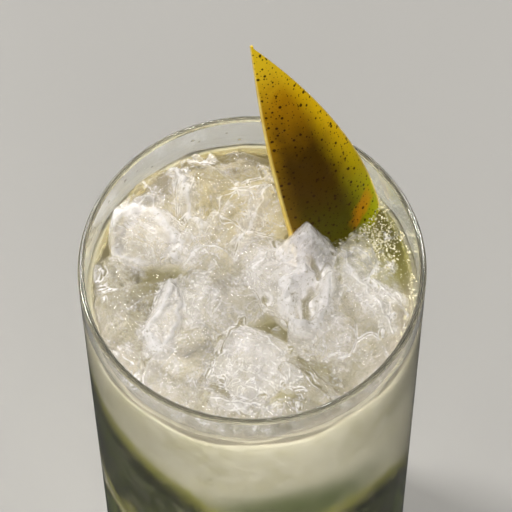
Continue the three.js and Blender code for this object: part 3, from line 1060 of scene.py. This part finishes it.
def ice_heap():
    """The packed ice: every piece and chip, wet and filled to the drink's level between them, on a
    flat floor. Its values say how near a facet's edge (ridge) or a crest's path (crest), how white
    (frost), how deep in a valley or crack (valley) and how bare of drink (bare) it is."""
    x, y = rings(np.linspace(ICE_REACH, 0.4, ICE_RINGS), ICE_STEPS)
    top, values = heap_top(shown_pieces() + chips(), x, y)
    floor = DRINK_LEVEL - POCKET_DEPTH - INTO_WALL
    below_x, below_y = rings([8, 20, 30, ICE_REACH, ICE_REACH], ICE_STEPS)
    below_z = np.repeat(np.array([floor] * 4 + [DRINK_LEVEL - 3.0])[:, None], ICE_STEPS, axis=1)
    below = np.stack([below_x, below_y, below_z], axis=-1)
    points = np.concatenate([below, np.stack([x, y, top], axis=-1)])
    shape = capped_grid(points, (0, 0, floor), (0, 0, top[-1].mean()))
    return shape, padded(below_x.size, values, dict.fromkeys(values, 0.0))


class MintLeaf(NamedTuple):
    """A sunk leaf: its turn round the wall in degrees, the height of its middle, its length and
    width, the lean of its rib in degrees, its depth behind the wall and the phase of its curl."""

    turn: float
    height: float
    length: float
    width: float
    lean: float
    depth: float
    phase: float


def leaf_shade(leaves, outer, inner, x, y, z):
    """How far a place by the wall is shaded by sunk leaves: 0 past the outer share of a leaf's
    oval, unrolled from the wall, and 1 within the inner one."""
    shade = np.zeros(x.shape)
    for leaf in leaves:
        away = np.arctan2(y, x) - math.radians(leaf.turn)
        side = INNER_RADIUS * np.arctan2(np.sin(away), np.cos(away))
        c, s = math.cos(math.radians(leaf.lean)), math.sin(math.radians(leaf.lean))
        u, v = c * side + s * (z - leaf.height), c * (z - leaf.height) - s * side
        oval = np.hypot(2 * u / leaf.width, 2 * v / leaf.length)
        shade = np.maximum(shade, smooth_step(oval, outer, inner))
    return shade


def cloud_profile():
    """Radius and height of the cloud's floor and side, which widens to the wall under the ice by a
    smooth step of the depth."""
    beyond_heel = CLOUD_HEEL + 1
    rise = np.linspace(CLOUD_FLOOR + beyond_heel, CLOUD_TOP, 80)
    widening = CLOUD_RIM + (CLOUD_BODY - CLOUD_RIM) * smooth_step(CLOUD_TOP - rise, 4, 30)
    return np.concatenate(
        [
            run((0, CLOUD_FLOOR), (CLOUD_BODY - beyond_heel, CLOUD_FLOOR), 12),
            arc((CLOUD_BODY - CLOUD_HEEL, CLOUD_FLOOR + CLOUD_HEEL), CLOUD_HEEL, -90, 0, 10),
            np.stack([widening, rise], axis=-1),
        ]
    )


def cloud_top_values(layer, x, y):
    """Values of the cloud's top over places in plan: how white and how near a sunk piece's edge it
    is, how far under ice (cover), how far in the open drink by the slice (open), and how near the
    front wall (rimward) and the back (backward)."""
    reach = np.hypot(x, y)
    above, _ = layer_of(shown_pieces(), np.full(x.shape, DRINK_LEVEL), x, y)
    open_drink = smooth_step(np.hypot(x - OPEN_DRINK[0], y - OPEN_DRINK[1]), 16, 9)
    cover = smooth_step(above - DRINK_LEVEL, 1.0, 4.0)
    return {
        "white": layer["frost"],
        "ridge": layer["ridge"],
        "cover": np.maximum(cover, smooth_step(reach, 29, 32) * (1 - open_drink)),
        "side": np.zeros(x.shape),
        "open": open_drink,
        "rimward": smooth_step(reach, 27, 32) * smooth_step(y, 4, -14),
        "backward": smooth_step(y, 6, 18),
    }


def leaf_values(points):
    """How far places on the cloud are shaded by leaves (leafy) and by hidden ones (misted)."""
    leaves = [MintLeaf(*leaf) for leaf in MINT_LEAVES]
    clear = [leaf for leaf in leaves if leaf.depth < MISTY_LEAF]
    misty = [leaf for leaf in leaves if MISTY_LEAF <= leaf.depth < HIDDEN_LEAF]
    hidden = [leaf for leaf in leaves if leaf.depth >= HIDDEN_LEAF]
    crisp = leaf_shade(clear, 1.1, 0.8, *points.T)
    soft = leaf_shade(misty, 1.62, 0.45, *points.T)
    return {"leafy": np.maximum(crisp, soft), "misted": leaf_shade(hidden, 1.5, 0.2, *points.T)}


def drink_cloud():
    """The cloud in the drink: it fills the middle of the glass, and sunk pieces stand up from its
    top. Its upper edge drops by waves round the wall."""
    profile = cloud_profile()
    radii = np.linspace(CLOUD_RIM - 0.1, 0.5, 120)
    x, y = rings(np.concatenate([profile[1:, 0], radii]), ROUND_STEPS)
    side = np.repeat(profile[1:, 1][:, None], ROUND_STEPS, axis=1)
    top_x, top_y = x[len(side) :], y[len(side) :]
    bed = CLOUD_BED + CLOUD_BANK * smooth_step(np.hypot(top_x, top_y), 31.0, 33.4)
    top, layer = layer_of(sunk_pieces(), bed, top_x, top_y, 3.0)
    z = np.concatenate([side, np.minimum(top, CLOUD_TOP)])
    turn = np.arctan2(y, x)
    drop = 1.2 * (1 + np.sin(3 * turn + 1.0) * np.sin(7 * turn + 2.0))
    z = z - drop * smooth_step(z, CLOUD_TOP - 9, CLOUD_TOP) * smooth_step(np.hypot(x, y), 29, 33)
    shape = capped_grid(np.stack([x, y, z], axis=-1), (0, 0, CLOUD_FLOOR), (0, 0, top[-1].mean()))
    values = cloud_top_values(layer, top_x, top_y)
    ends = {**dict.fromkeys(values, 0.0), "white": 0.5, "cover": 1.0, "side": 1.0}
    return shape, {**padded(side.size, values, ends), **leaf_values(shape.points)}


def with_ends(grid, first, last):
    """A grid's values as one list, followed by those of its shape's two end points."""
    return np.concatenate([grid.ravel(), [first, last]])


def mango_slice():
    """The slice: a rounded flat profile, skin in front and flesh behind, carried from tip to foot.
    Returns the shape, its values and its places on the skin."""
    rows, columns = 120, 41
    front = np.linspace(0, 1, columns)
    share = 0.5 - 0.5 * np.cos(np.pi * (np.arange(rows) + 0.35) / rows)
    below = (SLICE_LENGTH * share)[:, None]
    across = np.concatenate([front, front[::-1]])[None]
    face = np.concatenate([np.full(columns, -1.0), np.full(columns, 1.0)])[None]
    at_edge = (across == 0) | (across == 1)
    straight, curved = slice_edges(below)
    crown, thickness = slice_plate(below, across)
    inset = SLICE_CORNER * np.where(at_edge, 1, 0) * np.minimum(1, thickness)
    x = straight + (curved - straight) * across
    y = face * (thickness / 2 - inset) - crown
    ripple = 0.05 * np.sin(x * 1.3 + below * 0.35) + 0.04 * np.sin(below * 0.9 - x * 0.7)
    y = y + np.where(face < 0, ripple, 0)
    z = np.broadcast_to(SLICE_ABOVE - below, x.shape)
    axes, foot = slice_frame()
    grid = np.stack([x, y, z], axis=-1) @ axes.T + foot
    shape = capped_grid(grid, grid[0].mean(axis=0), grid[-1].mean(axis=0))
    skin = ((face < 0) & ~at_edge).astype(float)
    values = {"across": across, "along": below / SLICE_LENGTH, "flesh": 1 - skin}
    grids = {key: np.broadcast_to(value, x.shape) for key, value in values.items()}
    lists = {key: with_ends(value, value[0].mean(), value[-1].mean()) for key, value in grids.items()}
    return shape, lists, np.stack([with_ends(x, 0, 0), with_ends(z, 0, 0)], axis=-1) / SKIN_SCALE


def mint_leaf(leaf):
    """One leaf: an oval outline with a toothed edge, carried along its rib, laid just inside the
    wall and turned by its lean. Returns its shape, with the share across it, the slant of its side
    veins and how misty it looks as its values."""
    rows, columns = 40, 15
    along = ((np.arange(rows) + 0.5) / rows)[:, None]
    front = np.linspace(-1, 1, columns)
    across = np.concatenate([front, front[::-1]])[None]
    face = np.concatenate([np.full(columns, 1.0), np.full(columns, -1.0)])[None]
    teeth = 1 + 0.07 * (2 * np.abs((along * LEAF_TEETH) % 1 - 0.5) - 0.5)
    outline = leaf.width / 2 * np.sin(np.pi * along**0.8) ** 0.8 * teeth
    u = outline * across
    v = leaf.length * (along - 0.5) * np.ones_like(across)
    slant = along * LEAF_VEINS - np.abs(across) * 1.1
    ridges = 0.25 * np.cos(2 * np.pi * slant) * np.abs(across) ** 0.5
    fold = 0.7 * np.abs(across) ** 1.5 + ridges
    curl = 0.5 * np.sin(2.2 * along + leaf.phase)
    c, s = math.cos(math.radians(leaf.lean)), math.sin(math.radians(leaf.lean))
    side, up = c * u - s * v, s * u + c * v
    radius = np.minimum(INNER_RADIUS - 0.3, INNER_RADIUS - leaf.depth - fold - curl + 0.16 * face)
    angle = math.radians(leaf.turn) + side / INNER_RADIUS
    points = np.stack([radius * np.cos(angle), radius * np.sin(angle), leaf.height + up], axis=-1)
    shape = capped_grid(points, points[0].mean(axis=0), points[-1].mean(axis=0))
    values = {
        "across": with_ends(np.broadcast_to(across, u.shape), 0, 0),
        "slant": with_ends(slant, 0, LEAF_VEINS),
        "misty": np.full(len(shape.points), float(leaf.depth >= MISTY_LEAF)),
    }
    return shape, values


def mint_leaves():
    """The sunk leaves that lie in front of the cloud. Hidden ones only shade it."""
    leaves = [MintLeaf(*leaf) for leaf in MINT_LEAVES]
    made = [mint_leaf(leaf) for leaf in leaves if leaf.depth < HIDDEN_LEAF]
    values = {key: np.concatenate([part[key] for _, part in made]) for key in made[0][1]}
    return joined([shape for shape, _ in made]), values


def bubbles():
    """Foam bubbles on the drink's top: crowded by the slice and thinning along the right wall."""
    rng = np.random.default_rng(23)
    by_slice = rng.normal(FOAM_MIDDLE, FOAM_SPREAD, (SLICE_BUBBLES, 2))
    angle = np.radians(rng.uniform(-40, 80, WALL_BUBBLES))
    reach = INNER_RADIUS - np.abs(rng.normal(0, 1.0, WALL_BUBBLES)) - BUBBLE_GAP
    by_wall = np.stack([reach * np.cos(angle), reach * np.sin(angle)], axis=-1)
    plan = np.concatenate([by_slice, by_wall])
    plan = plan[np.linalg.norm(plan, axis=1) < INNER_RADIUS - BUBBLE_GAP]
    size = 0.07 + 0.2 * rng.random(len(plan)) ** 2
    edge = INNER_RADIUS - np.linalg.norm(plan, axis=1)
    height = DRINK_LEVEL + 0.9 * np.exp(-edge / MENISCUS_REACH) + 0.3 * size
    centres = np.concatenate([plan, height[:, None]], axis=1)
    bubble = ball(4, 8)
    return repeated(bubble, bubble.points[None] * size[:, None, None] + centres[:, None])


def droplets():
    """Drops left on the wall above the drink, at the back and left: flattened balls, set half into
    the wall and drawn out a little downwards."""
    rng = np.random.default_rng(31)
    turn = np.radians(rng.uniform(70, 205, WALL_DROPS))
    height = rng.uniform(DRINK_LEVEL + DROP_MARGIN, GLASS_HEIGHT - DROP_MARGIN, WALL_DROPS)
    size = 0.16 + 0.4 * rng.random(WALL_DROPS) ** 3
    level = np.zeros(WALL_DROPS)
    outward = np.stack([np.cos(turn), np.sin(turn), level], axis=-1)
    sideways = np.stack([-np.sin(turn), np.cos(turn), level], axis=-1)
    up = np.broadcast_to((0.0, 0, 1), outward.shape)
    axes = np.stack([DROP_DEPTH * outward, sideways, DROP_LENGTH * up], axis=1) * size[:, None, None]
    centres = INNER_RADIUS * outward + height[:, None] * up
    drop = ball(6, 10)
    return repeated(drop, np.einsum("pk,nkj->npj", drop.points, axes) + centres[:, None])


def placed(piece, slot, *nodes):
    """The piece rides on the one body and stands for these solids. Its slot is not used."""
    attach(piece, "root")
    if nodes:
        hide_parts(*nodes)
    return piece


def lets_lamps_through(piece):
    """Clear pieces cast no shadow, so that lamps light what they hold."""
    piece.visible_shadow = False
    return piece


def build_drink():
    glass = put_piece("highball", revolved(glass_profile(), GLASS_STEPS), clear_glass())
    placed(lets_lamps_through(glass), "clear_glass", "glass")
    drink = put_piece("drink_body", drink_body(), cloudy_drink())
    placed(lets_lamps_through(drink), "cloudy_drink", "drink")
    shape, values = drink_cloud()
    placed(put_piece("drink_cloud", shape, drink_depths(), values), "cloudy_drink")
    shape, values = ice_heap()
    placed(lets_lamps_through(put_piece("ice_pieces", shape, wet_ice(), values)), "wet_ice", "ice")
    shape, white = cloudy_hearts()
    hearts = put_piece("ice_hearts", shape, ice_veils(), {"white": white})
    placed(lets_lamps_through(hearts), "wet_ice")
    shape, values, places = mango_slice()
    placed(put_piece("mango_fin", shape, mango(), values, {"skin": places}), "mango_skin", "mango_slice")
    shape, values = mint_leaves()
    placed(put_piece("mint_leaves", shape, mint(), values), "cloudy_drink")
    foam = put_piece("foam_bubbles", bubbles(), foam_film())
    placed(lets_lamps_through(foam), "cloudy_drink")
    drops = put_piece("wall_drops", droplets(), water())
    placed(lets_lamps_through(drops), "cloudy_drink")


# Stage


def build_floor():
    """A flat pale floor. It is kept out of reflections, which would grey the wall."""
    half_width, lines = 3000, 9
    steps = np.linspace(-half_width, half_width, lines)
    x, y = np.meshgrid(steps, steps)
    index = np.arange(lines**2).reshape(lines, lines)
    quads = np.stack([index[:-1, :-1], index[:-1, 1:], index[1:, 1:], index[1:, :-1]], axis=-1)
    points = np.stack([x, y, np.zeros_like(x)], axis=-1).reshape(-1, 3)
    floor = put_piece("floor", Shape(points, quads.reshape(-1, 4), np.empty((0, 3), int)), pale_floor())
    floor.visible_glossy = False


def area_lamp(name, place, aim, size, power, colour):
    """A rectangular lamp at a place in metres, turned towards its aim."""
    data = bpy.data.lights.new(name, "AREA")
    data.shape = "RECTANGLE"
    data.size, data.size_y = size
    data.energy = power
    data.color = colour
    lamp = bpy.data.objects.new(name, data)
    bpy.context.scene.collection.objects.link(lamp)
    away = np.array(place) - np.array(aim)
    away = away / np.linalg.norm(away)
    side = np.cross((0, 0, 1), away)
    side = side / np.linalg.norm(side)
    up = np.cross(away, side)
    turn = np.stack([side, up, away], axis=1)
    lamp.matrix_world = Matrix.Translation(place) @ Matrix(turn.tolist()).to_4x4()
    return lamp


def lamp_place(azimuth, rise, distance):
    """A place round the drink's top: degrees to the right of straight back, degrees up and metres."""
    drink_top = 0.14
    turn, up = math.radians(azimuth), math.radians(rise)
    level = distance * math.cos(up)
    return (level * math.sin(turn), level * math.cos(turn), drink_top + distance * math.sin(up))


def build_light():
    """Three warm softboxes behind the drink and a wide fill in front, which is kept out of
    reflections."""
    aim = (0, 0, 0.13)
    warm = (1.0, 0.965, 0.92)
    area_lamp("left_softbox", lamp_place(-62, 50, 0.9), aim, (0.16, 0.12), 5.4, warm)
    area_lamp("right_softbox", lamp_place(42, 45, 0.9), aim, (0.16, 0.16), 2.4, warm)
    area_lamp("back_softbox", lamp_place(-8, 36, 0.9), aim, (0.16, 0.07), 2.3, warm)
    fill = area_lamp("front_fill", lamp_place(176, 22, 1.0), aim, (0.9, 0.6), 5.6, warm)
    fill.visible_glossy = False
    world = bpy.data.worlds.new("studio")
    world.use_nodes = True
    background = world.node_tree.nodes["Background"]
    background.inputs["Color"].default_value = (0.5, 0.49, 0.48, 1)
    background.inputs["Strength"].default_value = 0.12
    bpy.context.scene.world = world


def turned_pair(first, second, angle):
    """Two axes at right angles, the first turned towards the second by an angle."""
    c, s = math.cos(angle), math.sin(angle)
    return first * c + second * s, second * c - first * s


def build_camera():
    """A long lens at the photograph's height of view, turned a little so that the rim lies where
    it does in the frame."""
    rise = math.radians(62.15)
    distance = 592.9
    focal_pixels = 2876.0
    frame_pixels = 512
    rim_right, rim_down = -4.05, 9.09
    roll = math.radians(-0.77)
    eye = np.array([0, -distance * math.cos(rise), GLASS_HEIGHT + distance * math.sin(rise)])
    ahead = np.array([0, math.cos(rise), -math.sin(rise)])
    right = np.array([1.0, 0, 0])
    up = np.cross(right, ahead)
    pan, tilt = math.atan(rim_right / focal_pixels), math.atan(rim_down / focal_pixels)
    right, ahead = turned_pair(right, ahead, pan)
    up, ahead = turned_pair(up, ahead, -tilt)
    right, up = turned_pair(right, up, roll)
    data = bpy.data.cameras.new("camera")
    data.sensor_width = 36
    data.lens = focal_pixels / frame_pixels * data.sensor_width
    data.clip_start = 0.01
    camera = bpy.data.objects.new("camera", data)
    bpy.context.scene.collection.objects.link(camera)
    turn = Matrix(np.stack([right, up, -ahead], axis=1).tolist()).to_4x4()
    camera.matrix_world = Matrix.Translation((eye * MM).tolist()) @ turn
    bpy.context.scene.camera = camera


def set_light_paths():
    """Enough bounces for light to pass through wall, drink and stacked ice."""
    cycles = bpy.context.scene.cycles
    cycles.max_bounces = 24
    cycles.transmission_bounces = 24
    cycles.glossy_bounces = 8
    cycles.transparent_max_bounces = 48
    bpy.context.scene.view_settings.view_transform = "Standard"


build_camera()
build_drink()
build_floor()
build_light()
set_light_paths()
